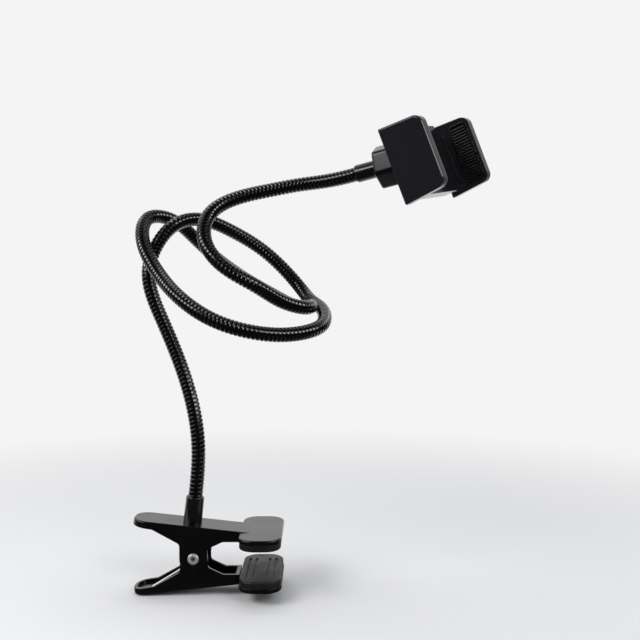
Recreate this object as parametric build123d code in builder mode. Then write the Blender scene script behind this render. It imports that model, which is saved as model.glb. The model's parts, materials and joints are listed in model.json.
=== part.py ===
"""Phone gooseneck holder: a sprung clamp, a ribbed gooseneck and a spring-loaded cradle on a ball joint.

Millimetres. The origin is the middle of the upper jaw pad's gripping face.
+X runs along the clamp towards its jaws' open end, +Y away from the viewer, +Z up.
"""
import os
from math import cos, radians, sin, sqrt, tan

from build123d import *

# Clamp
clamp_gap = 20.0           # between the two jaw pads at rest
head_length = 29.0         # jaw head, along the clamp
head_width = 64.0          # jaw head, across the clamp
head_corner = 11.0
cap_thickness = 3.0        # plastic part of the jaw head
pad_thickness = 4.8        # rubber part of the jaw head
pad_inset = 0.5            # rubber stands back from the cap's outline
pad_groove_width = 1.6
pad_groove_depth = 0.9
pad_groove_pitch = 4.6
lever_width = 26.0
lever_wall = 2.2
plate_thickness = 2.6
lever_reach = 88.0         # origin to the tip of the handle
lever_slope = 6.3          # degrees, the handle rises from the head
plate_step = 0.8           # the sloping plate starts above the head's cap
plate_root = 6.5           # length of the plate that runs onto the cap
tip_flat = 4.0             # straight width left between the tip's round corners
tip_depth = 3.4            # rim at the handle's tip
skirt_start = 74.0         # origin to where the handle's rim starts to deepen
skirt_depth = 5.0
nose_depth = 7.0           # depth of the rim where it meets the head
nose_start = 26.0
ear_radius = 9.5
ear_corner = 3.0
ear_shoulder = 3.3         # where the ear's front edge starts, inside the jaw face
pivot_back = 46.0          # origin to the rivet, along the clamp
side_gap = 0.3             # between the nested levers, each side
edge_round = 1.1

# Rivet and clamp spring
rivet_radius = 2.5
rivet_head_radius = 3.8
rivet_head_height = 1.2
rivet_dimple_radius = 1.7
rivet_dimple_depth = 1.6
rivet_clearance = 0.05
spring_wire = 1.6
spring_turns = 7
spring_bore = 3.1
spring_valley = 0.9        # wall of the coil between two turns
spring_leg_back = 29.0     # the legs bear on the plates this far behind the rivet
spring_leg_gap = 0.3       # between a leg and its plate

# Gooseneck and its ferrules
neck_radius = 5.1
neck_root_radius = 4.6
rib_pitch = 6.2
ferrule_back = 48.0        # origin to the ferrule's foot, along the clamp
ferrule_height = 18.0
ferrule_foot_radius = 6.5
ferrule_top_radius = 6.25
ferrule_round = 0.8
neck_clearance = 0.12
neck_insert = 12.0         # length of gooseneck held in each ferrule
stud_radius = 3.0          # threaded foot of the base ferrule
stud_clearance = 0.1
base_nut_radius = 5.6
base_nut_height = 4.0
sleeve_radius = 6.1        # head ferrule
sleeve_length = 16.0
sleeve_round = 0.7
spigot_radius = 3.4
spigot_length = 2.2

# The gooseneck's course, as steps from the middle of the base ferrule's mouth
neck_course = [
    (2, 2, 32), (-7.6, 11, 79), (-26, 21, 122), (-36, 27, 157), (-32, 31, 172), (-19, 37, 189),
    (-4, 48, 194), (20, 62, 186), (44, 71, 171), (71.1, 68, 143.6), (78.8, 59, 134.7), (84.8, 48, 130.5),
    (88.7, 35, 126.7), (89.6, 20, 121.8), (86, 4, 117.1), (66, -15, 113), (45, -24, 114.6), (15, -24, 123.6),
    (-7, -14, 137), (-26, 6, 155), (-39, 22, 177), (-37, 43, 195.2), (-24, 56, 194), (-8, 71, 180),
    (9, 82, 164), (32, 86, 148), (52.5, 75, 136.8), (70.7, 51, 129.8), (79.6, 30, 131), (76.2, 12, 130.2),
    (62, 1, 134), (44, -11, 145), (24, -14, 157), (10, -7, 172), (7, 0, 183), (10, 9, 195),
    (31, 20, 208), (51, 25, 213), (72, 26, 217), (90, 21.5, 219), (112, 12.5, 223),
]
neck_heading = -22.2       # degrees, the way the gooseneck's end points
neck_lift = 12.1

# Ball joint
ball_radius = 8.5
ball_clearance = 0.2
collet_radius = 10.9
collet_lip_radius = 9.6
collet_lip = 4.2           # ball centre to the collet's front edge
collet_shoulder = 4.0      # ball centre back to where the collet starts to taper
collet_back = 13.0         # ball centre to the collet's back face
collet_slot_width = 1.4
collet_slot_depth = 9.0
nut_clearance = 0.3
nut_hex_radius = 15.4
nut_corner = 3.5
nut_turn = 24.0            # degrees, so that one flat faces forward
nut_front = 6.5            # ball centre to the nut's front face
nut_lip = 2.0              # wall of the nut in front of the collet
nut_mouth_radius = 8.0
nut_back = 12.5            # ball centre to the nut's back face
nut_round = 1.2
ball_neck_radius = 3.5
ball_standoff = 13.5       # ball centre to the cradle's back
stud_flange_radius = 6.5
stud_flange_height = 1.5
swivel_gap = 0.3
shank_radius = 3.0
screw_bore = 1.25
screw_length = 7.0
screw_head_radius = 2.9
screw_head_height = 1.9
washer_radius = 3.7
washer_height = 0.8

# Cradle
cradle_heading = -33.0     # degrees, the way the cradle faces
cradle_lift = 19.2
cradle_roll = 8.0
grip_span = 71.0           # between the grip pads at rest
pad_proud = 1.0            # grip ribs stand out of the jaw's face
jaw_thickness = 7.5
jaw_height = 47.6
jaw_front = 18.4           # jaw's front edge, ahead of the housing's front face
jaw_front_corner = 6.0
jaw_round = 1.5
jaw_flare = 2.1            # jaw's back corners, past the housing's long sides
housing_depth = 11.6
housing_corner = 1.0
housing_wall = 2.0
cover_thickness = 1.8
cover_gap = 0.2
boss_radius = 2.2
boss_inset = 5.0           # from the housing's long sides to the bosses' middle
boss_end_inset = 3.5       # from the cavity's ends to the bosses' middle
cover_screw_radius = 1.0
cover_screw_length = 5.5
cover_head_radius = 1.9
cover_head_height = 0.9
screw_gap = 0.1
cross_share = 1.3          # length of a screw's cross recess, against its head's radius
cross_width = 0.6
cross_depth = 0.5
stud_up = 7.4              # ball stud, above the middle of the jaws
stud_in = 4.9              # ball stud, from the middle of the grip span towards the near jaw

# Slide of the far jaw
slide_out = 17.0
slide_in = 15.0
slide_gap = 0.3
boss_gap = 0.5             # between the slide and the near bosses
slide_plate = 3.0
slide_rail = 2.5
slide_end_gap = 1.5        # left at both ends of the slide when the far jaw is right in
stop_length = 2.5
stop_reach = 3.2
post_radius = 1.2
post_share = 0.8           # of the space between the cover and the slide
cover_post_inset = 4.0     # from the cavity's near end to the spring posts on the cover
slide_post_inset = 34.5    # from the far jaw's face to the spring posts on the slide
spring_side_gap = 1.6      # between the lower spring and the slide's rail
spring_spacing = 6.5       # between the two springs
jaw_spring_radius = 2.0
jaw_spring_wire = 0.8
jaw_spring_bore = 1.1
jaw_spring_coils = 12

# Grip pads
grip_length = 14.3         # front to back
grip_height = 42.4
grip_start = 2.2           # from the housing's front face
grip_corner = 3.8
grip_border = 1.6          # raised edge round the ribs
grip_pocket = 1.6
grip_gap = 0.1
rib_height = 0.8
rib_width = 1.1
rib_spacing = 2.05


def heading_vector(heading, lift):
    """Unit vector from a compass angle in the ground plane and an angle above it, in degrees."""
    return Vector(cos(radians(lift)) * cos(radians(heading)),
                  cos(radians(lift)) * sin(radians(heading)),
                  sin(radians(lift)))


def turning_plane(origin, direction):
    """Plane for a turned profile: x is the radius, y runs along the direction."""
    across = Vector(0, 0, 1).cross(direction).normalized()
    return Plane(origin=origin, x_dir=across, z_dir=across.cross(direction))


# Clamp frame
head_edge = -head_length / 2
head_top = pad_thickness + cap_thickness
pivot_x = -pivot_back
pivot_height = -clamp_gap / 2
plate_rise = tan(radians(lever_slope))
lower_width = lever_width - 2 * lever_wall - 2 * side_gap
pivot_point = Vector(pivot_x, 0, pivot_height)


def plate_height(x):
    """Height of the sloping plate's outer face above the jaw pad's face."""
    return head_top + plate_step + (head_edge - x) * plate_rise


slope = radians(lever_slope)
upper_side = Plane.XZ
lower_side = Plane(origin=(0, 0, -clamp_gap), x_dir=(1, 0, 0), z_dir=(0, 1, 0))
upper_plate = Plane(origin=(head_edge, 0, plate_height(head_edge)),
                    x_dir=(cos(slope), 0, -sin(slope)), z_dir=(sin(slope), 0, cos(slope)))
lower_plate = Plane(origin=(head_edge, 0, -clamp_gap - plate_height(head_edge)),
                    x_dir=(cos(slope), 0, sin(slope)), z_dir=(sin(slope), 0, -cos(slope)))
upper_jaw = Plane.XY
lower_jaw = Plane(origin=(0, 0, -clamp_gap), x_dir=(1, 0, 0), z_dir=(0, 0, -1))


def lever_outline(side):
    """Side view of a lever behind its head: sloping plate, rim and ear."""
    ear_back = pivot_x - ear_radius
    ear_front = pivot_x + ear_radius
    rim_end = head_edge - side_gap
    nose_height = plate_height(rim_end) - nose_depth
    tip = -lever_reach - lever_width
    with BuildSketch(side) as outline:
        with BuildLine():
            Polyline(
                (head_edge + plate_root, plate_height(head_edge + plate_root)),
                (tip, plate_height(tip)),
                (tip, plate_height(tip) - tip_depth),
                (-skirt_start, plate_height(-skirt_start) - skirt_depth),
                (ear_back, 0),
                (ear_back, pivot_height),
                (ear_front, pivot_height),
                (ear_front, -ear_shoulder),
                (-nose_start, nose_height),
                (rim_end, nose_height),
                (rim_end, pad_thickness),
                (head_edge + plate_root, pad_thickness),
                close=True,
            )
        make_face()
        for corner in ((ear_back, 0), (ear_front, -ear_shoulder), (-nose_start, nose_height)):
            fillet(outline.vertices().sort_by_distance(corner)[0], ear_corner)
        with Locations((pivot_x, pivot_height)):
            Circle(ear_radius)
    return outline.sketch


def lever_plan(plate, width, tip, root):
    """Plan of the handle on its sloping plate, rounded at the tip."""
    with BuildSketch(plate) as plan:
        with Locations(((tip + root) / 2, 0)):
            Rectangle(root - tip, width)
        fillet(plan.vertices().group_by(Axis.X)[0], (width - tip_flat) / 2)
    return plan.sketch


def lever_bar(side, plate, width):
    """Handle, rim and ears of one lever, without its jaw head."""
    tip = (-lever_reach - head_edge) / cos(slope)
    root = plate_root + lever_width
    depth = lever_reach
    with BuildPart() as bar:
        extrude(lever_outline(side), amount=width / 2, both=True)
        extrude(lever_plan(plate, width, tip, root), amount=depth, both=True, mode=Mode.INTERSECT)
        top_edges = bar.faces().sort_by(Axis(plate.origin, plate.z_dir))[-1].edges()
        fillet(top_edges.sort_by(Axis(plate.origin, plate.x_dir))[:-1], edge_round)
        inside = plate.offset(-plate_thickness)
        extrude(lever_plan(inside, width - 2 * lever_wall, tip + lever_wall, -lever_wall),
                amount=-depth, mode=Mode.SUBTRACT)
    return bar.part


def head_plan(jaw, height, inset):
    """Rounded plan of the jaw head, at a height above the jaw face."""
    with BuildSketch(jaw.offset(height)) as plan:
        RectangleRounded(head_length - 2 * inset, head_width - 2 * inset, head_corner - inset)
    return plan.sketch


# Base ferrule's place on the sloping plate
ferrule_along = (-ferrule_back - head_edge) / cos(slope)
ferrule_plane = Plane(origin=upper_plate.from_local_coords((ferrule_along, 0, 0)),
                      x_dir=upper_plate.x_dir, z_dir=upper_plate.z_dir)
stud_seat = ferrule_plane.offset(-plate_thickness)

# Upper lever
with BuildPart() as upper_lever:
    extrude(head_plan(upper_jaw, pad_thickness, 0), amount=cap_thickness)
    fillet(upper_lever.faces().sort_by(Axis.Z)[-1].edges(), edge_round)
    add(lever_bar(upper_side, upper_plate, lever_width))
    with BuildSketch(Plane.XZ):
        with Locations((pivot_x, pivot_height)):
            Circle(rivet_radius + rivet_clearance)
    extrude(amount=lever_width, both=True, mode=Mode.SUBTRACT)
    with BuildSketch(ferrule_plane):
        Circle(stud_radius + stud_clearance)
    extrude(amount=plate_thickness * 2, both=True, mode=Mode.SUBTRACT)
upper_lever.part.label = "upper_lever"

# Lower lever, the same form turned over and nested between the upper ears
with BuildPart() as lower_lever:
    extrude(head_plan(lower_jaw, pad_thickness, 0), amount=cap_thickness)
    fillet(lower_lever.faces().sort_by(Axis.Z)[0].edges(), edge_round)
    add(lever_bar(lower_side, lower_plate, lower_width))
    with BuildSketch(Plane.XZ):
        with Locations((pivot_x, pivot_height)):
            Circle(rivet_radius + rivet_clearance)
    extrude(amount=lever_width, both=True, mode=Mode.SUBTRACT)
lower_lever.part.label = "lower_lever"


def jaw_pad(jaw):
    """Rubber block of one jaw, with blind grooves in its face."""
    groove_length = head_width - 2 * head_corner
    with BuildPart() as pad:
        extrude(head_plan(jaw, 0, pad_inset), amount=pad_thickness)
        face_edges = pad.faces().sort_by(Axis(jaw.origin, jaw.z_dir))[0].edges()
        fillet(face_edges, edge_round)
        with BuildSketch(jaw):
            for step in (-2, -1, 1, 2):
                with Locations((step * pad_groove_pitch, 0)):
                    SlotOverall(groove_length, pad_groove_width, rotation=90)
        extrude(amount=pad_groove_depth, mode=Mode.SUBTRACT)
    return pad.part


with BuildPart() as upper_jaw_pad:
    add(jaw_pad(upper_jaw))
upper_jaw_pad.part.label = "upper_jaw_pad"

with BuildPart() as lower_jaw_pad:
    add(jaw_pad(lower_jaw))
lower_jaw_pad.part.label = "lower_jaw_pad"

# Pivot rivet, hollow at both ends
rivet_half = lever_width / 2
with BuildPart() as pivot_rivet:
    with BuildSketch(turning_plane(pivot_point, Vector(0, 1, 0))):
        with BuildLine():
            head_end = rivet_half + rivet_head_height
            Polyline(
                (0, head_end - rivet_dimple_depth),
                (rivet_dimple_radius, head_end - rivet_dimple_depth),
                (rivet_dimple_radius, head_end),
                (rivet_head_radius - rivet_head_height / 2, head_end),
                (rivet_head_radius, head_end - rivet_head_height / 2),
                (rivet_head_radius, rivet_half),
                (rivet_radius, rivet_half),
                (rivet_radius, 0),
                (0, 0),
                close=True,
            )
        make_face()
    revolve(axis=Axis(pivot_point, (0, 1, 0)))
    mirror(about=Plane.XZ)
pivot_rivet.part.label = "pivot_rivet"

# Clamp spring: a close-wound torsion spring with one leg on each lever's plate
coil_radius = spring_bore + spring_wire / 2
coil_length = spring_turns * spring_wire
leg_row = coil_length / 2 - spring_wire / 2
leg_end_x = pivot_x - spring_leg_back
leg_end_height = plate_height(leg_end_x) - plate_thickness - spring_wire / 2 - spring_leg_gap
leg_drop = leg_end_height - pivot_height - coil_radius
with BuildPart() as clamp_spring:
    with BuildSketch(turning_plane(pivot_point, Vector(0, 1, 0))):
        with BuildLine():
            outer = []
            for turn in range(spring_turns):
                start = -coil_length / 2 + turn * spring_wire
                outer.append((spring_bore + spring_valley, start))
                outer.append((spring_bore + spring_wire, start + spring_wire / 2))
            outer.append((spring_bore + spring_valley, coil_length / 2))
            Polyline((spring_bore, coil_length / 2), (spring_bore, -coil_length / 2), *outer, close=True)
        make_face()
    revolve(axis=Axis(pivot_point, (0, 1, 0)))
    for row, rise in ((leg_row, 1), (-leg_row, -1)):
        leg_way = Vector(-spring_leg_back, 0, rise * leg_drop)
        leg_start = Vector(pivot_x, row, pivot_height + rise * coil_radius)
        with BuildSketch(Plane(origin=leg_start, z_dir=leg_way)):
            Circle(spring_wire / 2)
        extrude(amount=leg_way.length)
clamp_spring.part.label = "clamp_spring"

# Base ferrule, a tapered sleeve on a threaded foot
with BuildPart() as base_ferrule:
    with BuildSketch(ferrule_plane):
        Circle(ferrule_foot_radius)
    with BuildSketch(ferrule_plane.offset(ferrule_height)):
        Circle(ferrule_top_radius)
    loft()
    fillet(base_ferrule.edges().sort_by(Axis(ferrule_plane.origin, ferrule_plane.z_dir))[-1], ferrule_round)
    with BuildSketch(ferrule_plane.offset(ferrule_height)):
        Circle(neck_radius + neck_clearance)
    extrude(amount=-neck_insert, mode=Mode.SUBTRACT)
    with BuildSketch(ferrule_plane):
        Circle(stud_radius)
    extrude(amount=-plate_thickness - base_nut_height)
base_ferrule.part.label = "base_ferrule"

with BuildPart() as base_nut:
    with BuildSketch(stud_seat):
        RegularPolygon(base_nut_radius, 6)
        Circle(stud_radius + stud_clearance, mode=Mode.SUBTRACT)
    extrude(amount=-base_nut_height)
base_nut.part.label = "base_nut"

# Gooseneck: one strand, ribbed along its whole course
neck_start = ferrule_plane.from_local_coords((0, 0, ferrule_height))
neck_points = [neck_start] + [neck_start + Vector(*step) for step in neck_course]
neck_end = neck_points[-1]
start_way = ferrule_plane.z_dir
end_way = heading_vector(neck_heading, neck_lift)
with BuildLine() as neck_line:
    Line(neck_start - start_way * neck_insert, neck_start)
    Spline(*neck_points, tangents=(start_way, end_way), tangent_scalars=(1, 1))
    Line(neck_end, neck_end + end_way * neck_insert)
neck_wire = neck_line.wire()
rib_count = round(neck_wire.length / rib_pitch)
half_rib = neck_wire.length / (2 * rib_count)


def rib_sections():
    """Planes across the strand at each crest and root, each turned as little as it can be."""
    side = Vector(0, 1, 0)
    for index in range(2 * rib_count + 1):
        along = neck_wire.location_at(index * half_rib, position_mode=PositionMode.LENGTH)
        way = neck_wire.tangent_at(index * half_rib, position_mode=PositionMode.LENGTH)
        side = (side - way * side.dot(way)).normalized()
        radius = neck_radius if index % 2 else neck_root_radius
        yield Plane(origin=along.position, x_dir=side, z_dir=way), radius


with BuildPart() as gooseneck:
    for section, radius in rib_sections():
        with BuildSketch(section):
            Circle(radius)
    loft(ruled=True)
gooseneck.part.label = "gooseneck"

# Head ferrule and ball joint, in line with the gooseneck's end
ball_centre = neck_end + end_way * (sleeve_length + collet_back)
neck_turning = turning_plane(ball_centre, end_way)
neck_axis = Axis(ball_centre, end_way)
neck_across = Plane(origin=ball_centre, x_dir=neck_turning.x_dir, z_dir=end_way)
sleeve_mouth = neck_across.offset(-collet_back - sleeve_length)

with BuildPart() as head_ferrule:
    with BuildSketch(sleeve_mouth):
        Circle(sleeve_radius)
    extrude(amount=sleeve_length)
    fillet(head_ferrule.edges().sort_by(Axis(sleeve_mouth.origin, end_way))[0], sleeve_round)
    with BuildSketch(sleeve_mouth):
        Circle(neck_radius + neck_clearance)
    extrude(amount=neck_insert, mode=Mode.SUBTRACT)
    with BuildSketch(neck_across.offset(-collet_back)):
        Circle(spigot_radius)
    extrude(amount=spigot_length)
head_ferrule.part.label = "head_ferrule"

# Socket collet, slotted so that the nut can close it on the ball
cup_radius = ball_radius + ball_clearance
cup_lip_radius = sqrt(cup_radius ** 2 - collet_lip ** 2)
collet_cut = 2 * collet_radius + collet_slot_width
with BuildPart() as socket_collet:
    with BuildSketch(neck_turning):
        with BuildLine():
            Polyline(
                (0, -cup_radius),
                (0, -collet_back + spigot_length),
                (spigot_radius + neck_clearance, -collet_back + spigot_length),
                (spigot_radius + neck_clearance, -collet_back),
                (collet_radius, -collet_back),
                (collet_radius, -collet_shoulder),
                (collet_lip_radius, collet_lip),
                (cup_lip_radius, collet_lip),
            )
            ThreePointArc((cup_lip_radius, collet_lip), (cup_radius, 0), (0, -cup_radius))
        make_face()
    revolve(axis=neck_axis)
    with BuildSketch(neck_across.offset(collet_lip)):
        Rectangle(collet_cut, collet_slot_width)
        Rectangle(collet_slot_width, collet_cut)
    extrude(amount=-collet_slot_depth, mode=Mode.SUBTRACT)
socket_collet.part.label = "socket_collet"

# Lock nut, a six-lobed collar
with BuildPart() as lock_nut:
    with BuildSketch(neck_across.offset(-nut_back)) as lobes:
        RegularPolygon(nut_hex_radius, 6, rotation=nut_turn)
        fillet(lobes.vertices(), nut_corner)
    extrude(amount=nut_back + nut_front)
    end_faces = lock_nut.faces().sort_by(neck_axis)
    fillet(end_faces[0].edges() + end_faces[-1].edges(), nut_round)
    with BuildSketch(neck_turning):
        with BuildLine():
            Polyline(
                (0, -nut_back),
                (collet_radius + nut_clearance, -nut_back),
                (collet_radius + nut_clearance, -collet_shoulder),
                (collet_lip_radius + nut_clearance, nut_front - nut_lip),
                (nut_mouth_radius, nut_front - nut_lip),
                (nut_mouth_radius, nut_front),
                (0, nut_front),
                close=True,
            )
        make_face()
    revolve(axis=neck_axis, mode=Mode.SUBTRACT)
lock_nut.part.label = "lock_nut"

# Cradle frame: x from the near jaw to the far jaw, y up along the jaws, z out of the housing's front
face_way = heading_vector(cradle_heading, cradle_lift)
level_way = Vector(0, 0, 1).cross(face_way).normalized()
jaw_way = level_way.rotate(Axis((0, 0, 0), face_way), cradle_roll)
cradle_up = face_way.cross(jaw_way)
stud_foot = ball_centre + face_way * (ball_standoff + housing_depth)
cradle_origin = stud_foot - cradle_up * stud_up + jaw_way * stud_in
cradle_plane = Plane(origin=cradle_origin, x_dir=jaw_way, z_dir=face_way)


def cradle_point(out, up, ahead):
    """Point in the cradle's own frame."""
    return cradle_plane.from_local_coords((out, up, ahead))


def across_slide(out):
    """Plane across the slide: sketch x is up, sketch y is ahead."""
    return Plane(origin=cradle_point(out, 0, 0), x_dir=cradle_up, z_dir=jaw_way)


jaw_face = grip_span / 2 + pad_proud
cover_front = -housing_depth + cover_thickness
half_height = jaw_height / 2
cavity_height = jaw_height - 2 * housing_wall
cavity_start = -jaw_face - jaw_thickness + housing_wall
housing_end = jaw_face - slide_in - slide_end_gap
cavity_end = housing_end - housing_wall
slide_tail = -cavity_start - slide_in - slide_end_gap
boss_up = half_height - boss_inset
slide_width = 2 * (boss_up - boss_radius - boss_gap)
boss_near = cavity_start + boss_end_inset
boss_far = cavity_end - boss_end_inset
boss_spots = [(out, up) for out in (boss_near, boss_far) for up in (boss_up, -boss_up)]
cover_post = cavity_start + cover_post_inset
slide_post = jaw_face - slide_post_inset
slide_back = -housing_depth + cover_thickness + slide_gap
slide_front = -housing_wall - slide_gap
slide_under = slide_front - slide_plate
spring_level = (cover_front + slide_under) / 2
spring_low = slide_width / 2 - slide_rail - spring_side_gap - jaw_spring_radius
spring_rows = (spring_spacing - spring_low, -spring_low)

# Ball stud
ball_axis = Axis(ball_centre, face_way)
stud_turning = turning_plane(ball_centre, face_way)
shank_end = ball_standoff + cover_thickness + swivel_gap
flange_top = ball_standoff - swivel_gap
flange_foot = flange_top - stud_flange_height
neck_leave = sqrt(ball_radius ** 2 - ball_neck_radius ** 2)
with BuildPart() as ball_stud:
    with BuildSketch(stud_turning):
        with BuildLine():
            ThreePointArc((0, -ball_radius), (ball_radius, 0), (ball_neck_radius, neck_leave))
            Polyline(
                (ball_neck_radius, neck_leave),
                (ball_neck_radius, flange_foot),
                (stud_flange_radius, flange_foot),
                (stud_flange_radius, flange_top),
                (shank_radius, flange_top),
                (shank_radius, shank_end),
                (screw_bore, shank_end),
                (screw_bore, shank_end - screw_length - swivel_gap),
                (0, shank_end - screw_length - swivel_gap),
                (0, -ball_radius),
            )
        make_face()
    revolve(axis=ball_axis)
ball_stud.part.label = "ball_stud"


def cross_recess(plane, head_radius, spots):
    """Cross-shaped recess in each screw head on a plane."""
    with BuildSketch(plane) as recess:
        with Locations(*spots):
            Rectangle(head_radius * cross_share, cross_width)
            Rectangle(cross_width, head_radius * cross_share)
    return recess.sketch


stud_end = Plane(origin=ball_centre + face_way * shank_end, x_dir=jaw_way, z_dir=face_way)
with BuildPart() as stud_washer:
    with BuildSketch(stud_end):
        Circle(washer_radius)
        Circle(screw_bore, mode=Mode.SUBTRACT)
    extrude(amount=washer_height)
stud_washer.part.label = "stud_washer"

with BuildPart() as stud_screw:
    with BuildSketch(stud_end.offset(washer_height)):
        Circle(screw_head_radius)
    extrude(amount=screw_head_height)
    fillet(stud_screw.edges().sort_by(Axis(stud_end.origin, face_way))[-1], screw_head_height / 3)
    with BuildSketch(stud_end.offset(washer_height)):
        Circle(screw_bore - screw_gap)
    extrude(amount=-washer_height - screw_length)
    head_face = stud_end.offset(washer_height + screw_head_height)
    extrude(cross_recess(head_face, screw_head_radius, [(0, 0)]), amount=-cross_depth, mode=Mode.SUBTRACT)
stud_screw.part.label = "stud_screw"


def jaw_outline(plane):
    """Outline of a jaw seen along the slide: wider at its back, rounded at its front."""
    back_corner = half_height + jaw_flare
    with BuildSketch(plane) as outline:
        with BuildLine():
            Polyline(
                (-half_height, jaw_front), (half_height, jaw_front),
                (back_corner, -housing_depth), (-back_corner, -housing_depth), close=True,
            )
        make_face()
        fillet(outline.vertices().group_by(Axis.Y)[-1], jaw_front_corner)
    return outline.sketch


def outer_edges(jaw, side):
    """Edges of a jaw's outer face, but not the one along its back."""
    face = jaw.faces().sort_by(Axis(cradle_origin, side * jaw_way))[-1]
    return face.edges().sort_by(Axis(cradle_origin, face_way))[1:]


def grip_outline(plane, shrink):
    """Outline of a grip pad's seat on a jaw face."""
    with BuildSketch(plane) as outline:
        with Locations((0, grip_start + grip_length / 2)):
            RectangleRounded(grip_height - 2 * shrink, grip_length - 2 * shrink, grip_corner - shrink)
    return outline.sketch


# Housing with the fixed jaw
near_outer = -jaw_face - jaw_thickness
with BuildPart() as cradle_housing:
    extrude(jaw_outline(across_slide(near_outer)), amount=jaw_thickness)
    fillet(outer_edges(cradle_housing, -1), jaw_round)
    with BuildSketch(across_slide(-jaw_face - jaw_thickness / 2)) as slab:
        with Locations((0, -housing_depth / 2)):
            Rectangle(jaw_height, housing_depth)
        fillet(slab.vertices().group_by(Axis.Y)[0], housing_corner)
    extrude(amount=housing_end + jaw_face + jaw_thickness / 2)
    with BuildSketch(cradle_plane.offset(-housing_depth)):
        with Locations(((cavity_start + cavity_end) / 2, 0)):
            Rectangle(cavity_end - cavity_start, cavity_height)
    extrude(amount=housing_depth - housing_wall, mode=Mode.SUBTRACT)
    with BuildSketch(across_slide(cavity_end)):
        with Locations((0, -(housing_depth + housing_wall) / 2)):
            Rectangle(slide_width + 2 * slide_gap, housing_depth - housing_wall)
    extrude(amount=2 * housing_wall, mode=Mode.SUBTRACT)
    with BuildSketch(cradle_plane.offset(cover_front)):
        with Locations(*boss_spots):
            Circle(boss_radius)
    extrude(amount=-housing_wall - cover_front + housing_wall / 2)
    with BuildSketch(cradle_plane.offset(cover_front)):
        with Locations(*boss_spots):
            Circle(cover_screw_radius + screw_gap)
    extrude(amount=cover_screw_length, mode=Mode.SUBTRACT)
    extrude(grip_outline(across_slide(-jaw_face), 0), amount=-grip_pocket, mode=Mode.SUBTRACT)
cradle_housing.part.label = "cradle_housing"

# Back cover, set in the housing's mouth on its bosses
with BuildPart() as back_cover:
    with BuildSketch(cradle_plane.offset(-housing_depth)):
        with Locations(((cavity_start + cavity_end) / 2, 0)):
            Rectangle(cavity_end - cavity_start - 2 * cover_gap, cavity_height - 2 * cover_gap)
        with Locations((-stud_in, stud_up)):
            Circle(shank_radius + stud_clearance, mode=Mode.SUBTRACT)
        with Locations(*boss_spots):
            Circle(cover_screw_radius + screw_gap, mode=Mode.SUBTRACT)
    extrude(amount=cover_thickness)
    with BuildSketch(cradle_plane.offset(-housing_depth)):
        with Locations(*boss_spots):
            Circle(cover_head_radius + screw_gap)
    extrude(amount=cover_head_height + screw_gap, mode=Mode.SUBTRACT)
    with BuildSketch(cradle_plane.offset(cover_front)):
        with Locations(*[(cover_post, row) for row in spring_rows]):
            Circle(post_radius)
    extrude(amount=(slide_under - cover_front) * post_share)
back_cover.part.label = "back_cover"

with BuildPart() as cover_screws:
    with BuildSketch(cradle_plane.offset(-housing_depth + screw_gap)):
        with Locations(*boss_spots):
            Circle(cover_head_radius)
    extrude(amount=cover_head_height)
    with BuildSketch(cradle_plane.offset(-housing_depth + screw_gap)):
        with Locations(*boss_spots):
            Circle(cover_screw_radius)
    extrude(amount=cover_thickness + cover_screw_length - 2 * screw_gap)
    head_face = cradle_plane.offset(-housing_depth + screw_gap)
    extrude(cross_recess(head_face, cover_head_radius, boss_spots), amount=cross_depth, mode=Mode.SUBTRACT)
cover_screws.part.label = "cover_screws"

# Sliding jaw, with a channel-shaped slide, end stops and spring posts
stop_face = boss_far - boss_radius - slide_out - slide_gap
with BuildPart() as sliding_jaw:
    extrude(jaw_outline(across_slide(jaw_face)), amount=jaw_thickness)
    fillet(outer_edges(sliding_jaw, 1), jaw_round)
    extrude(grip_outline(across_slide(jaw_face), 0), amount=grip_pocket, mode=Mode.SUBTRACT)
    with BuildSketch(across_slide(-slide_tail)):
        with Locations((0, slide_front - slide_plate / 2)):
            Rectangle(slide_width, slide_plate)
        for side in (1, -1):
            with Locations((side * (slide_width - slide_rail) / 2, (slide_front + slide_back) / 2)):
                Rectangle(slide_rail, slide_front - slide_back)
    extrude(amount=slide_tail + jaw_face + jaw_thickness / 2)
    with BuildSketch(across_slide(stop_face)):
        with Locations((0, (slide_front + slide_back) / 2)):
            for side in (1, -1):
                with Locations((side * (slide_width + stop_reach - slide_rail) / 2, 0)):
                    Rectangle(stop_reach + slide_rail, slide_front - slide_back)
    extrude(amount=-stop_length)
    with BuildSketch(cradle_plane.offset(slide_under)):
        with Locations(*[(slide_post, row) for row in spring_rows]):
            Circle(post_radius)
    extrude(amount=-(slide_under - cover_front) * post_share)
sliding_jaw.part.label = "sliding_jaw"

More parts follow.
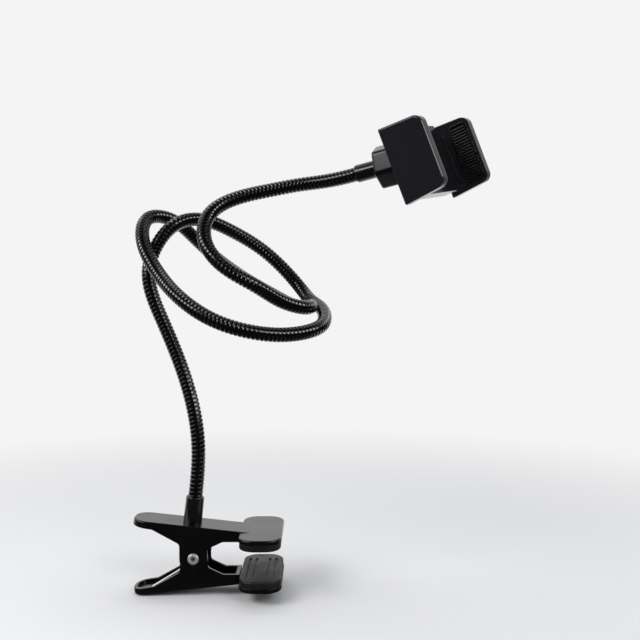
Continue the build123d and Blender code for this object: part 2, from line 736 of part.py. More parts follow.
# Jaw springs: close-wound coils with an eye on each post
eye_radius = post_radius + neck_clearance + jaw_spring_wire
coil_from = cover_post + eye_radius - jaw_spring_wire / 2
coil_to = slide_post - eye_radius + jaw_spring_wire / 2
coil_step = (coil_to - coil_from) / jaw_spring_coils
with BuildPart() as jaw_springs:
    for row in spring_rows:
        row_point = cradle_point(0, row, spring_level)
        with BuildSketch(Plane(origin=row_point, x_dir=cradle_up, z_dir=cradle_up.cross(jaw_way))):
            with BuildLine():
                crests = []
                for coil in range(jaw_spring_coils):
                    crests.append((jaw_spring_radius - jaw_spring_wire / 2, coil_from + coil * coil_step))
                    crests.append((jaw_spring_radius, coil_from + (coil + 0.5) * coil_step))
                crests.append((jaw_spring_radius - jaw_spring_wire / 2, coil_to))
                Polyline((jaw_spring_bore, coil_to), (jaw_spring_bore, coil_from), *crests, close=True)
            make_face()
        revolve(axis=Axis(row_point, jaw_way))
        with BuildSketch(cradle_plane.offset(spring_level)):
            for out in (cover_post, slide_post):
                with Locations((out, row)):
                    Circle(eye_radius + jaw_spring_wire / 2)
            for out in (cover_post, slide_post):
                with Locations((out, row)):
                    Circle(post_radius + neck_clearance, mode=Mode.SUBTRACT)
        extrude(amount=jaw_spring_wire / 2, both=True)
jaw_springs.part.label = "jaw_springs"


def grip_pad(face, outward):
    """Rubber pad in a jaw's pocket, with ribs in a raised border that point outward along the slide."""
    base = across_slide(face - outward * grip_pocket)
    rib_base = across_slide(face + outward * (pad_proud - rib_height))
    rib_count_up = int((grip_height - 2 * grip_border - rib_spacing) // rib_spacing)
    with BuildPart() as pad:
        extrude(grip_outline(base, grip_gap), amount=outward * (grip_pocket + pad_proud - rib_height))
        extrude(grip_outline(rib_base, grip_gap), amount=outward * rib_height)
        inside_border = grip_outline(rib_base, grip_gap + grip_border)
        extrude(inside_border, amount=outward * rib_height, mode=Mode.SUBTRACT)
        with BuildSketch(rib_base):
            with Locations((0, grip_start + grip_length / 2)):
                with GridLocations(rib_spacing, 0, rib_count_up, 1):
                    Rectangle(rib_width, grip_length - grip_border)
        extrude(amount=outward * rib_height)
    return pad.part


with BuildPart() as fixed_jaw_pad:
    add(grip_pad(-jaw_face, 1))
fixed_jaw_pad.part.label = "fixed_jaw_pad"

with BuildPart() as sliding_jaw_pad:
    add(grip_pad(jaw_face, -1))
sliding_jaw_pad.part.label = "sliding_jaw_pad"

# Write each piece
os.makedirs("parts", exist_ok=True)
for piece in (
    upper_lever, lower_lever, upper_jaw_pad, lower_jaw_pad, pivot_rivet, clamp_spring,
    base_ferrule, base_nut, gooseneck, head_ferrule, socket_collet, lock_nut,
    ball_stud, stud_washer, stud_screw, cradle_housing, back_cover, cover_screws,
    sliding_jaw, jaw_springs, fixed_jaw_pad, sliding_jaw_pad,
):
    export_step(piece.part, f"parts/{piece.part.label}.step")
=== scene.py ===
"""Phone gooseneck holder in a pale studio: sprung clamp, wound gooseneck, ball joint and cradle."""
import json
from math import cos, pi, radians, sin

import bpy
import numpy as np
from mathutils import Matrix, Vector


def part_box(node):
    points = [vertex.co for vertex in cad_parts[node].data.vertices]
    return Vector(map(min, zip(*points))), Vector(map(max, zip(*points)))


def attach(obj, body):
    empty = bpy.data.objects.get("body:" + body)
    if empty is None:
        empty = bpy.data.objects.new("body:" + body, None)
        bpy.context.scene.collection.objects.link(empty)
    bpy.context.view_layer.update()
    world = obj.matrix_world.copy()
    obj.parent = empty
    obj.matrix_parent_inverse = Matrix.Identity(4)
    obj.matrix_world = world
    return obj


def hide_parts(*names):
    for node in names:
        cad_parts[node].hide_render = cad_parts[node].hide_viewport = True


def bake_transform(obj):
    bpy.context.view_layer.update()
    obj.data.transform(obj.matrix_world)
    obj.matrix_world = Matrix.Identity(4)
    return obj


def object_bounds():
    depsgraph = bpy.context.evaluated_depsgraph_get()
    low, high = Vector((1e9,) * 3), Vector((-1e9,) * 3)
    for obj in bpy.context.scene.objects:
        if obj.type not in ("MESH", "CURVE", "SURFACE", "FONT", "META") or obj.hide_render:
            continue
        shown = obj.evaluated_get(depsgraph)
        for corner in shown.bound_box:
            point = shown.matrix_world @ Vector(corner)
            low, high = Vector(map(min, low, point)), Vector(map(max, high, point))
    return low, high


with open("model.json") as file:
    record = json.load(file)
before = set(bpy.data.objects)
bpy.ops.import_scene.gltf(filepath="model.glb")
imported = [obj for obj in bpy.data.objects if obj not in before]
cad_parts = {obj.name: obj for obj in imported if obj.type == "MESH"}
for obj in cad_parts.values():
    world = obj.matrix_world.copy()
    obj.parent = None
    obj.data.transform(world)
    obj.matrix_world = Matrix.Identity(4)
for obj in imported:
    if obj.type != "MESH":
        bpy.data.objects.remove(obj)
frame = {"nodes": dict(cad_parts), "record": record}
cad_box = [list(corner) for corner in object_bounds()]
nodes_of_holder = frame["nodes"]

# Gooseneck in millimetres, with its course as steps from the middle of the base ferrule's mouth
ferrule_mouth = np.array((-46.0248, 0.0, 30.1897))
ferrule_way = np.array((0.1097, 0.0, 0.9940))
head_way = np.array((0.9053, -0.3694, 0.2096))
neck_course = [
    (2, 2, 32), (-7.6, 11, 79), (-26, 21, 122), (-36, 27, 157), (-32, 31, 172), (-19, 37, 189),
    (-4, 48, 194), (20, 62, 186), (44, 71, 171), (71.1, 68, 143.6), (78.8, 59, 134.7),
    (84.8, 48, 130.5), (88.7, 35, 126.7), (89.6, 20, 121.8), (86, 4, 117.1), (66, -15, 113),
    (45, -24, 114.6), (15, -24, 123.6), (-7, -14, 137), (-26, 6, 155), (-39, 22, 177),
    (-37, 43, 195.2), (-24, 56, 194), (-8, 71, 180), (9, 82, 164), (32, 86, 148),
    (52.5, 75, 136.8), (70.7, 51, 129.8), (79.6, 30, 131), (76.2, 12, 130.2), (62, 1, 134),
    (44, -11, 145), (24, -14, 157), (10, -7, 172), (7, 0, 183), (10, 9, 195),
    (31, 20, 208), (51, 25, 213), (72, 26, 217), (90, 21.5, 219), (112, 12.5, 223),
]
neck_insert = 11.5         # length held in each ferrule
points_per_stop = 60       # points of the smooth line between two stops of the course
points_per_mm = 4          # points of that line in a millimetre, once they are evenly spaced
coil_pitch = 2.85          # one turn of the wound sleeve
coil_crest = 5.0           # radius on top of a turn
coil_root = 4.52           # radius between two turns
coil_profile = (           # one turn, as shares of the pitch and of the rise from root to crest
    (0.0, 0.0), (0.06, 0.1), (0.12, 0.6), (0.24, 1.0), (0.76, 1.0), (0.88, 0.6), (0.94, 0.1),
)
coil_rims = (3, 4)         # places in the profile where the flat top of a turn starts and ends
points_round = 28
metres_per_mm = 0.001

# Rivet in metres
rivet_middle = [sum(side) / 2 for side in zip(*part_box("pivot_rivet"))]
rivet_hollow = 0.0017      # radius of the rivet's hollow ends

# Studio in metres
backdrop_white = (0.905, 0.905, 0.91)
floor_grey = (0.82, 0.82, 0.83)
floor_drop = 0.0003        # the floor lies this far under the holder
floor_reach = 0.8
floor_corners = 64
floor_fade = (0.18, 0.72)  # the floor turns into the white between these distances from its middle
floor_dim = (-0.05, 0.35)  # in gloss it goes from dim to bright between these depths
fill_tint = (0.95, 0.97, 1.0)
fill_strength = 0.35
lamp_aim = (0.02, 0.02, 0.14)

# Room as gloss sees it: dim in front, bright behind, with a window on the left and one on the right
room_front = 0.03
room_back = 1.2
back_way = (-0.25, 0.9, 0.36)
back_span = (0.15, 0.85)       # how far along it a direction starts to be bright, and is fully so
window_strength = 7
window_depths = (-0.72, 0.08)  # the y parts of the directions inside a window
window_heights = (0.32, 0.6)   # and their z parts
window_edge = 0.05             # how softly a window ends

# Finishes that change over a piece
cloud_span = (0.3, 0.7)        # most of the clouding lies between these
rubbed_and_sheen_turn = (0.995, 0.85)    # likeness of rounded and flat normal where the lighter edge colour (wear and painted highlight) starts, and is full
hollow_shade_rim = (1.08, 0.85)      # shares of the hollow's radius where the painted shade starts, and is full

# Camera in front of the holder
sensor_width_mm = 36
lens_mm = 50.625
camera_place = (0.0403, -0.617, 0.1817)
camera_tilt = 87.27        # degrees up from looking straight down


# Shader nodes that need settings

def math_node(tree, operation, kind="ShaderNodeMath"):
    node = tree.nodes.new(kind)
    node.operation = operation
    return node


def range_node(tree, given, made=(0, 1), soft=False):
    """Map range from one pair of values to another, with soft ends if wanted."""
    node = tree.nodes.new("ShaderNodeMapRange")
    node.interpolation_type = "SMOOTHSTEP" if soft else "LINEAR"
    for name, value in zip(("From Min", "From Max", "To Min", "To Max"), (*given, *made)):
        node.inputs[name].default_value = value
    return node


def colour_mix(tree):
    node = tree.nodes.new("ShaderNodeMix")
    node.data_type = "RGBA"
    return node


# Effects that several finishes share

def moulding_grain():
    """Fine grain and slow clouding of moulded plastic, rubber and plate."""
    group = bpy.data.node_groups.new("moulding grain", "ShaderNodeTree")
    socket = group.interface.new_socket
    socket("Grain Scale", in_out="INPUT", socket_type="NodeSocketFloat").default_value = 2200
    socket("Cloud Scale", in_out="INPUT", socket_type="NodeSocketFloat").default_value = 60
    socket("Grain", in_out="OUTPUT", socket_type="NodeSocketFloat")
    socket("Cloud", in_out="OUTPUT", socket_type="NodeSocketFloat")
    inputs = group.nodes.new("NodeGroupInput")
    outputs = group.nodes.new("NodeGroupOutput")
    place = group.nodes.new("ShaderNodeTexCoord")
    for result, scale, detail in (("Grain", "Grain Scale", 2.5), ("Cloud", "Cloud Scale", 4)):
        texture = group.nodes.new("ShaderNodeTexNoise")
        texture.inputs["Detail"].default_value = detail
        group.links.new(place.outputs["Object"], texture.inputs["Vector"])
        group.links.new(inputs.outputs[scale], texture.inputs["Scale"])
        group.links.new(texture.outputs["Fac"], outputs.inputs[result])
    return group


def edge_break():
    """Slightly rounded edges, and a mask of the edges for their lighter colour, partly wear and partly
    painted highlight.
    """
    group = bpy.data.node_groups.new("edge break", "ShaderNodeTree")
    socket = group.interface.new_socket
    socket("Width", in_out="INPUT", socket_type="NodeSocketFloat").default_value = 0.0005
    socket("Normal", in_out="OUTPUT", socket_type="NodeSocketVector")
    socket("Rubbed And Sheen", in_out="OUTPUT", socket_type="NodeSocketFloat")
    inputs = group.nodes.new("NodeGroupInput")
    outputs = group.nodes.new("NodeGroupOutput")
    rounded = group.nodes.new("ShaderNodeBevel")
    rounded.samples = 6
    flat = group.nodes.new("ShaderNodeNewGeometry")
    turn = math_node(group, "DOT_PRODUCT", "ShaderNodeVectorMath")
    # Mask of the edges that get the lighter colour: partly wear, partly a painted highlight
    rubbed_and_sheen = range_node(group, rubbed_and_sheen_turn)
    group.links.new(inputs.outputs["Width"], rounded.inputs["Radius"])
    group.links.new(rounded.outputs["Normal"], turn.inputs[0])
    group.links.new(flat.outputs["Normal"], turn.inputs[1])
    group.links.new(turn.outputs["Value"], rubbed_and_sheen.inputs["Value"])
    group.links.new(rounded.outputs["Normal"], outputs.inputs["Normal"])
    group.links.new(rubbed_and_sheen.outputs["Result"], outputs.inputs["Rubbed And Sheen"])
    return group


grain_group = moulding_grain()
edge_group = edge_break()


# Finishes

class Finish:
    """A material with the shared grain and edge effects joined to its shader."""

    def __init__(self, name, grain_scale, cloud_scale, edge_width):
        self.material = bpy.data.materials.new(name)
        self.material.use_nodes = True
        self.tree = self.material.node_tree
        self.join = self.tree.links.new
        self.shader = self.tree.nodes["Principled BSDF"]
        self.grain = self.tree.nodes.new("ShaderNodeGroup")
        self.grain.node_tree = grain_group
        self.grain.inputs["Grain Scale"].default_value = grain_scale
        self.grain.inputs["Cloud Scale"].default_value = cloud_scale
        self.edge = self.tree.nodes.new("ShaderNodeGroup")
        self.edge.node_tree = edge_group
        self.edge.inputs["Width"].default_value = edge_width

    def constant(self, name, value):
        self.shader.inputs[name].default_value = value

    def colours(self, deep, pale, rubbed_and_sheen, rubbed_and_sheen_share):
        """Base colour clouded between two shades, with a lighter third along the edges, partly wear and
        partly painted highlight.
        """
        clouded = colour_mix(self.tree)
        clouded.inputs["A"].default_value = (*deep, 1)
        clouded.inputs["B"].default_value = (*pale, 1)
        share = math_node(self.tree, "MULTIPLY")
        share.inputs[1].default_value = rubbed_and_sheen_share
        # Lighter along the edges: partly wear, partly a painted highlight
        worn_and_sheen = colour_mix(self.tree)
        worn_and_sheen.inputs["B"].default_value = (*rubbed_and_sheen, 1)
        self.join(self.grain.outputs["Cloud"], clouded.inputs["Factor"])
        self.join(self.edge.outputs["Rubbed And Sheen"], share.inputs[0])
        self.join(share.outputs["Value"], worn_and_sheen.inputs["Factor"])
        self.join(clouded.outputs["Result"], worn_and_sheen.inputs["A"])
        self.join(worn_and_sheen.outputs["Result"], self.shader.inputs["Base Color"])

    def roughness(self, low, high):
        """Roughness that follows the clouding."""
        span = range_node(self.tree, cloud_span, (low, high))
        self.join(self.grain.outputs["Cloud"], span.inputs["Value"])
        self.join(span.outputs["Result"], self.shader.inputs["Roughness"])

    def relief(self, strength, depth):
        """Grain raised over the rounded edges."""
        bump = self.tree.nodes.new("ShaderNodeBump")
        bump.inputs["Strength"].default_value = strength
        bump.inputs["Distance"].default_value = depth
        self.join(self.grain.outputs["Grain"], bump.inputs["Height"])
        self.join(self.edge.outputs["Normal"], bump.inputs["Normal"])
        self.join(bump.outputs["Normal"], self.shader.inputs["Normal"])


def clamp_plastic():
    finish = Finish("clamp satin plastic", grain_scale=2600, cloud_scale=45, edge_width=0.0006)
    finish.colours(deep=(0.0018, 0.0018, 0.0019), pale=(0.003, 0.003, 0.0032),
                   rubbed_and_sheen=(0.010, 0.010, 0.010), rubbed_and_sheen_share=0.5)
    finish.roughness(low=0.17, high=0.26)
    finish.relief(strength=0.14, depth=0.00005)
    return finish.material


def cradle_plastic():
    finish = Finish("cradle satin plastic", grain_scale=3000, cloud_scale=40, edge_width=0.0009)
    finish.colours(deep=(0.0088, 0.0088, 0.0112), pale=(0.0135, 0.0135, 0.0165),
                   rubbed_and_sheen=(0.02, 0.02, 0.023), rubbed_and_sheen_share=0.5)
    finish.roughness(low=0.09, high=0.15)
    finish.relief(strength=0.06, depth=0.00005)
    return finish.material


def joint_plastic():
    finish = Finish("joint smooth plastic", grain_scale=2200, cloud_scale=70, edge_width=0.0004)
    finish.colours(deep=(0.004, 0.004, 0.0042), pale=(0.006, 0.006, 0.0063),
                   rubbed_and_sheen=(0.014, 0.014, 0.014), rubbed_and_sheen_share=0.5)
    finish.roughness(low=0.28, high=0.38)
    finish.relief(strength=0.15, depth=0.00004)
    return finish.material


def nut_plastic():
    finish = Finish("lock nut polished plastic", grain_scale=1800, cloud_scale=90, edge_width=0.0014)
    finish.colours(deep=(0.003, 0.003, 0.0032), pale=(0.0045, 0.0045, 0.0048),
                   rubbed_and_sheen=(0.010, 0.010, 0.010), rubbed_and_sheen_share=0.4)
    finish.roughness(low=0.14, high=0.22)
    finish.relief(strength=0.05, depth=0.00002)
    return finish.material


def ferrule_enamel():
    finish = Finish("ferrule black enamel", grain_scale=1500, cloud_scale=110, edge_width=0.0004)
    finish.colours(deep=(0.003, 0.003, 0.0032), pale=(0.0045, 0.0045, 0.0048),
                   rubbed_and_sheen=(0.012, 0.012, 0.012), rubbed_and_sheen_share=0.4)
    finish.roughness(low=0.2, high=0.3)
    finish.relief(strength=0.12, depth=0.00004)
    finish.constant("Coat Weight", 0.3)
    finish.constant("Coat Roughness", 0.12)
    return finish.material


def jaw_rubber():
    finish = Finish("jaw pad rubber", grain_scale=1700, cloud_scale=80, edge_width=0.0005)
    finish.colours(deep=(0.0045, 0.0045, 0.0045), pale=(0.0085, 0.0085, 0.0085),
                   rubbed_and_sheen=(0.018, 0.018, 0.018), rubbed_and_sheen_share=0.6)
    finish.roughness(low=0.42, high=0.58)
    finish.relief(strength=0.4, depth=0.0001)
    return finish.material


def grip_rubber():
    finish = Finish("grip pad rubber", grain_scale=1900, cloud_scale=90, edge_width=0.0006)
    # The lighter edge colour here is partly wear and partly a painted highlight, the sheen along the
    # pad's rounded border
    finish.colours(deep=(0.0018, 0.0018, 0.0018), pale=(0.0036, 0.0036, 0.0036),
                   rubbed_and_sheen=(0.012, 0.012, 0.012), rubbed_and_sheen_share=0.6)
    finish.roughness(low=0.24, high=0.34)
    finish.relief(strength=0.2, depth=0.00005)
    return finish.material


def rivet_nickel():
    """Bright nickel, painted darker inside the rivet's hollow ends as shade in the recess."""
    finish = Finish("rivet bright nickel", grain_scale=1400, cloud_scale=260, edge_width=0.0004)
    finish.colours(deep=(0.66, 0.65, 0.63), pale=(0.82, 0.81, 0.79),
                   rubbed_and_sheen=(0.88, 0.87, 0.85), rubbed_and_sheen_share=0.8)
    finish.roughness(low=0.4, high=0.54)
    finish.relief(strength=0.3, depth=0.00006)
    finish.constant("Metallic", 0.8)
    place = finish.tree.nodes.new("ShaderNodeTexCoord")
    from_axis = math_node(finish.tree, "SUBTRACT", "ShaderNodeVectorMath")
    from_axis.inputs[1].default_value = rivet_middle
    across = math_node(finish.tree, "MULTIPLY", "ShaderNodeVectorMath")
    across.inputs[1].default_value = (1, 0, 1)
    radius = math_node(finish.tree, "LENGTH", "ShaderNodeVectorMath")
    hollow = range_node(finish.tree, [rivet_hollow * share for share in hollow_shade_rim])
    # Painted shade: a darker grey inside the hollow ends, where the recess lies in shade
    hollow_shade = colour_mix(finish.tree)
    hollow_shade.inputs["B"].default_value = (0.2, 0.2, 0.205, 1)
    nickel = finish.shader.inputs["Base Color"].links[0].from_socket
    finish.join(place.outputs["Object"], from_axis.inputs[0])
    finish.join(from_axis.outputs["Vector"], across.inputs[0])
    finish.join(across.outputs["Vector"], radius.inputs[0])
    finish.join(radius.outputs["Value"], hollow.inputs["Value"])
    finish.join(hollow.outputs["Result"], hollow_shade.inputs["Factor"])
    finish.join(nickel, hollow_shade.inputs["A"])
    finish.join(hollow_shade.outputs["Result"], finish.shader.inputs["Base Color"])
    return finish.material


def spring_wire():
    finish = Finish("spring drawn wire", grain_scale=1600, cloud_scale=300, edge_width=0.0003)
    finish.colours(deep=(0.5, 0.5, 0.5), pale=(0.66, 0.66, 0.66),
                   rubbed_and_sheen=(0.75, 0.75, 0.75), rubbed_and_sheen_share=0.6)
    finish.roughness(low=0.3, high=0.44)
    finish.relief(strength=0.25, depth=0.00005)
    finish.constant("Metallic", 1)
    return finish.material


def zinc_plate():
    finish = Finish("screw zinc plate", grain_scale=1600, cloud_scale=240, edge_width=0.0003)
    finish.colours(deep=(0.48, 0.5, 0.53), pale=(0.62, 0.63, 0.65),
                   rubbed_and_sheen=(0.76, 0.76, 0.76), rubbed_and_sheen_share=0.6)
    finish.roughness(low=0.24, high=0.4)
    finish.relief(strength=0.25, depth=0.00005)
    finish.constant("Metallic", 1)
    return finish.material


def neck_sleeve():
    finish = Finish("gooseneck polished sleeve", grain_scale=1300, cloud_scale=140, edge_width=0.0002)
    finish.colours(deep=(0.0014, 0.0014, 0.0012), pale=(0.0024, 0.0024, 0.0021),
                   rubbed_and_sheen=(0.004, 0.004, 0.004), rubbed_and_sheen_share=0.2)
    finish.roughness(low=0.12, high=0.18)
    finish.relief(strength=0.03, depth=0.00002)
    finish.constant("Coat Weight", 0.4)
    finish.constant("Coat Roughness", 0.1)
    return finish.material


finishes = {
    "clamp_plastic": clamp_plastic(),
    "jaw_rubber": jaw_rubber(),
    "rivet_nickel": rivet_nickel(),
    "spring_steel": spring_wire(),
    "ferrule_black": ferrule_enamel(),
    "zinc_hardware": zinc_plate(),
    "neck_cover": neck_sleeve(),
    "joint_plastic": joint_plastic(),
    "nut_plastic": nut_plastic(),
    "cradle_plastic": cradle_plastic(),
    "grip_rubber": grip_rubber(),
}
for piece in frame["record"]["subparts"]:
    mesh = nodes_of_holder[piece["node"]].data
    mesh.materials.clear()
    mesh.materials.append(finishes[piece["material_slot"]])


def add_to_scene(name, data):
    thing = bpy.data.objects.new(name, data)
    bpy.context.scene.collection.objects.link(thing)
    return thing


# Gooseneck with its wound sleeve

def neck_line():
    """Closely spaced points along the smooth line through the course, in millimetres."""
    stops = np.vstack([ferrule_mouth, ferrule_mouth + np.array(neck_course)])
    spans = np.linalg.norm(np.diff(stops, axis=0), axis=1)
    count = len(stops)
    balance = np.eye(count)
    pull = np.zeros((count, 3))
    pull[0], pull[-1] = ferrule_way, head_way
    for stop in range(1, count - 1):
        before, after = spans[stop - 1], spans[stop]
        balance[stop, stop - 1:stop + 2] = after, 2 * (before + after), before
        pull[stop] = 3 * (after / before * (stops[stop] - stops[stop - 1])
                          + before / after * (stops[stop + 1] - stops[stop]))
    ways = np.linalg.solve(balance, pull)
    line = [ferrule_mouth - ferrule_way * neck_insert]
    for stop in range(count - 1):
        for t in np.linspace(0, 1, points_per_stop, endpoint=False):
            line.append((2 * t ** 3 - 3 * t ** 2 + 1) * stops[stop]
                        + (t ** 3 - 2 * t ** 2 + t) * spans[stop] * ways[stop]
                        + (3 * t ** 2 - 2 * t ** 3) * stops[stop + 1]
                        + (t ** 3 - t ** 2) * spans[stop] * ways[stop + 1])
    line.append(stops[-1])
    line.append(stops[-1] + head_way * neck_insert)
    return np.array(line)


def sleeve_points(line, lengths, rings):
    """Rings of points round the line, each sheared by one pitch so that its end meets the next turn."""
    fine = np.linspace(0, lengths[-1], int(lengths[-1] * points_per_mm))
    path = np.stack([np.interp(fine, lengths, line[:, axis]) for axis in range(3)], axis=1)
    ways = np.gradient(path, axis=0)
    ways /= np.linalg.norm(ways, axis=1)[:, None]
    side = np.array((0.0, 1.0, 0.0))
    sides = np.empty_like(path)
    for index, way in enumerate(ways):
        side = side - way * side.dot(way)
        side /= np.linalg.norm(side)
        sides[index] = side
    ups = np.cross(ways, sides)

    round_shares = np.arange(points_round) / points_round
    spots = (rings[:, :1] + round_shares) * coil_pitch

    def at_spots(values):
        return np.stack([np.interp(spots, fine, values[:, axis]) for axis in range(3)], axis=2)

    angles = 2 * pi * round_shares[None, :, None]
    outward = np.cos(angles) * at_spots(sides) + np.sin(angles) * at_spots(ups)
    return (at_spots(path) + rings[:, 1, None, None] * outward).reshape(-1, 3)


def sleeve_faces(ring_count, per_turn):
    """Faces between neighbouring rings, with the last of each ring joined to the next turn."""
    faces = []
    for ring in range(ring_count - per_turn - 1):
        for step in range(points_round):
            here, there = ring * points_round + step, (ring + 1) * points_round + step
            if step < points_round - 1:
                faces.append((here, here + 1, there + 1, there))
            else:
                next_turn = (ring + per_turn) * points_round
                faces.append((here, next_turn, next_turn + points_round, there))
    return faces


def wound_sleeve():
    """Helical turns with flat tops, wound round the neck line."""
    line = neck_line()
    lengths = np.concatenate([[0], np.cumsum(np.linalg.norm(np.diff(line, axis=0), axis=1))])
    turns = int(lengths[-1] / coil_pitch) - 1
    rings = np.array([(turn + share, coil_root + rise * (coil_crest - coil_root))
                      for turn in range(turns) for share, rise in coil_profile])
    per_turn = len(coil_profile)
    points = sleeve_points(line, lengths, rings) * metres_per_mm
    mesh = bpy.data.meshes.new("gooseneck sleeve")
    mesh.from_pydata([tuple(point) for point in points], [], sleeve_faces(len(rings), per_turn))
    mesh.polygons.foreach_set("use_smooth", [True] * len(mesh.polygons))
    mesh.update()
    for edge in mesh.edges:
        places = {point // points_round % per_turn for point in edge.vertices}
        edge.use_edge_sharp = len(places) == 1 and places.pop() in coil_rims
    mesh.materials.append(finishes["neck_cover"])
    return add_to_scene("gooseneck_sleeve", mesh)


sleeve = wound_sleeve()
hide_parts("gooseneck")
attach(sleeve, "arm")


# Springs, copied in place from their CAD parts

def flexing_spring(node):
    """Copy of a spring, baked in place, with its CAD part hidden."""
    wire = add_to_scene(node + "_wire", nodes_of_holder[node].data.copy())
    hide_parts(node)
    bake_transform(wire)


def clamp_spring():
    """The clamp spring, copied in place."""
    flexing_spring("clamp_spring")


def jaw_springs():
    """The jaw springs, copied in place."""
    flexing_spring("jaw_springs")


clamp_spring()
jaw_springs()


# Studio

def floor_finish():
    """Pale and matt, fading into the white; to gloss it is dim in front and bright behind."""
    material = bpy.data.materials.new("pale floor")
    material.use_nodes = True
    tree = material.node_tree
    new, join = tree.nodes.new, tree.links.new
    matt = tree.nodes["Principled BSDF"]
    matt.inputs["Base Color"].default_value = (*floor_grey, 1)
    matt.inputs["Roughness"].default_value = 0.8
    matt.inputs["Specular IOR Level"].default_value = 0.1
    glow = new("ShaderNodeEmission")
    glow.inputs["Color"].default_value = (*backdrop_white, 1)
    mirrored = new("ShaderNodeEmission")
    mirrored.inputs["Color"].default_value = (1, 1, 1, 1)
    place = new("ShaderNodeTexCoord")
    rays = new("ShaderNodeLightPath")

    reach = math_node(tree, "LENGTH", "ShaderNodeVectorMath")
    fade = range_node(tree, floor_fade, soft=True)
    seen = math_node(tree, "MAXIMUM")
    shown = math_node(tree, "MULTIPLY")
    faded = new("ShaderNodeMixShader")
    join(place.outputs["Object"], reach.inputs[0])
    join(reach.outputs["Value"], fade.inputs["Value"])
    join(rays.outputs["Is Camera Ray"], seen.inputs[0])
    join(rays.outputs["Is Transmission Ray"], seen.inputs[1])
    join(seen.outputs["Value"], shown.inputs[0])
    join(fade.outputs["Result"], shown.inputs[1])
    join(shown.outputs["Value"], faded.inputs["Fac"])
    join(matt.outputs["BSDF"], faded.inputs[1])
    join(glow.outputs["Emission"], faded.inputs[2])

    depth = new("ShaderNodeSeparateXYZ")
    dim = range_node(tree, floor_dim, (room_front, room_back), soft=True)
    mixed = new("ShaderNodeMixShader")
    join(place.outputs["Object"], depth.inputs["Vector"])
    join(depth.outputs["Y"], dim.inputs["Value"])
    join(dim.outputs["Result"], mirrored.inputs["Strength"])
    join(rays.outputs["Is Glossy Ray"], mixed.inputs["Fac"])
    join(faded.outputs["Shader"], mixed.inputs[1])
    join(mirrored.outputs["Emission"], mixed.inputs[2])
    join(mixed.outputs["Shader"], tree.nodes["Material Output"].inputs["Surface"])
    return material


def pale_floor(height):
    """Round floor under the holder."""
    angles = [2 * pi * corner / floor_corners for corner in range(floor_corners)]
    rim = [(floor_reach * cos(angle), floor_reach * sin(angle), height) for angle in angles]
    mesh = bpy.data.meshes.new("floor")
    mesh.from_pydata(rim, [], [tuple(range(floor_corners))])
    mesh.materials.append(floor_finish())
    floor = add_to_scene("floor", mesh)


def side_windows(tree, way):
    """Mask of the ways that lie inside the left and right windows."""
    join = tree.links.new
    split = tree.nodes.new("ShaderNodeSeparateXYZ")
    windows = math_node(tree, "MULTIPLY")
    join(way, split.inputs["Vector"])
    for number, (axis, (low, high)) in enumerate((("Y", window_depths), ("Z", window_heights))):
        off_middle = math_node(tree, "SUBTRACT")
        off_middle.inputs[1].default_value = (low + high) / 2
        distance = math_node(tree, "ABSOLUTE")
        half = (high - low) / 2
        inside = range_node(tree, (half + window_edge, half - window_edge), soft=True)
        join(split.outputs[axis], off_middle.inputs[0])
        join(off_middle.outputs["Value"], distance.inputs[0])
        join(distance.outputs["Value"], inside.inputs["Value"])
        join(inside.outputs["Result"], windows.inputs[number])
    return windows.outputs["Value"]


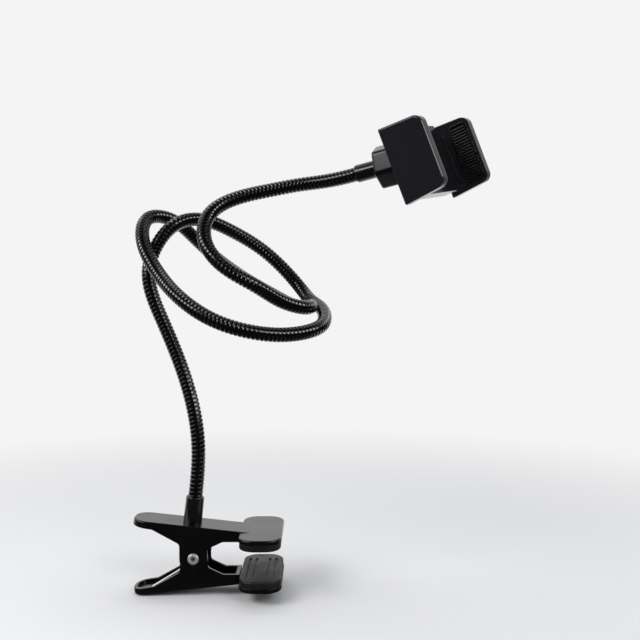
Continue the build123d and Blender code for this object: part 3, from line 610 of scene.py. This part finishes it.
def white_room():
    """White to the camera, soft fill for the holder's own colours, and a room for its gloss.

    To gloss the room is dim in front and bright behind, with a window on each side.
    """
    world = bpy.data.worlds.new("white room")
    world.use_nodes = True
    tree = world.node_tree
    new, join = tree.nodes.new, tree.links.new
    wall = tree.nodes["Background"]
    wall.inputs["Color"].default_value = (*backdrop_white, 1)
    fill = new("ShaderNodeBackground")
    fill.inputs["Color"].default_value = (*fill_tint, 1)
    fill.inputs["Strength"].default_value = fill_strength
    sheen = new("ShaderNodeBackground")
    way = new("ShaderNodeTexCoord").outputs["Generated"]

    lean = math_node(tree, "DOT_PRODUCT", "ShaderNodeVectorMath")
    lean.inputs[1].default_value = back_way
    bright = range_node(tree, back_span, (room_front, room_back), soft=True)
    glare = math_node(tree, "MULTIPLY_ADD")
    glare.inputs[1].default_value = window_strength
    join(way, lean.inputs[0])
    join(lean.outputs["Value"], bright.inputs["Value"])
    join(side_windows(tree, way), glare.inputs[0])
    join(bright.outputs["Result"], glare.inputs[2])
    join(glare.outputs["Value"], sheen.inputs["Strength"])

    rays = new("ShaderNodeLightPath")
    gloss = math_node(tree, "MAXIMUM")
    lighting = new("ShaderNodeMixShader")
    everything = new("ShaderNodeMixShader")
    join(rays.outputs["Is Glossy Ray"], gloss.inputs[0])
    join(rays.outputs["Is Transmission Ray"], gloss.inputs[1])
    join(gloss.outputs["Value"], lighting.inputs["Fac"])
    join(fill.outputs["Background"], lighting.inputs[1])
    join(sheen.outputs["Background"], lighting.inputs[2])
    join(rays.outputs["Is Camera Ray"], everything.inputs["Fac"])
    join(lighting.outputs["Shader"], everything.inputs[1])
    join(wall.outputs["Background"], everything.inputs[2])
    join(everything.outputs["Shader"], tree.nodes["World Output"].inputs["Surface"])
    bpy.context.scene.world = world


def softbox(name, place, width, height, watts):
    """Area lamp turned towards the holder, which gloss doesn't see."""
    lamp = bpy.data.lights.new(name, "AREA")
    lamp.shape = "RECTANGLE"
    lamp.size = width
    lamp.size_y = height
    lamp.energy = watts
    box = add_to_scene(name, lamp)
    box.location = place
    towards = Vector(lamp_aim) - Vector(place)
    box.rotation_euler = towards.to_track_quat("-Z", "Y").to_euler()
    box.visible_glossy = False


def front_camera():
    lens = bpy.data.cameras.new("camera")
    lens.sensor_width = sensor_width_mm
    lens.lens = lens_mm
    lens.clip_start = 0.01
    camera = add_to_scene("camera", lens)
    camera.location = camera_place
    camera.rotation_euler = (radians(camera_tilt), 0, 0)
    bpy.context.scene.camera = camera


pale_floor(cad_box[0][2] - floor_drop)
white_room()
softbox("overhead softbox", place=(0.0, 0.2, 1.1), width=0.6, height=0.45, watts=4.5)
softbox("left softbox", place=(-0.74, -0.6, 0.8), width=0.8, height=0.36, watts=7.5)
softbox("right softbox", place=(0.5, -0.85, 0.65), width=0.3, height=0.36, watts=3.0)
front_camera()
bpy.context.scene.view_settings.view_transform = "Standard"
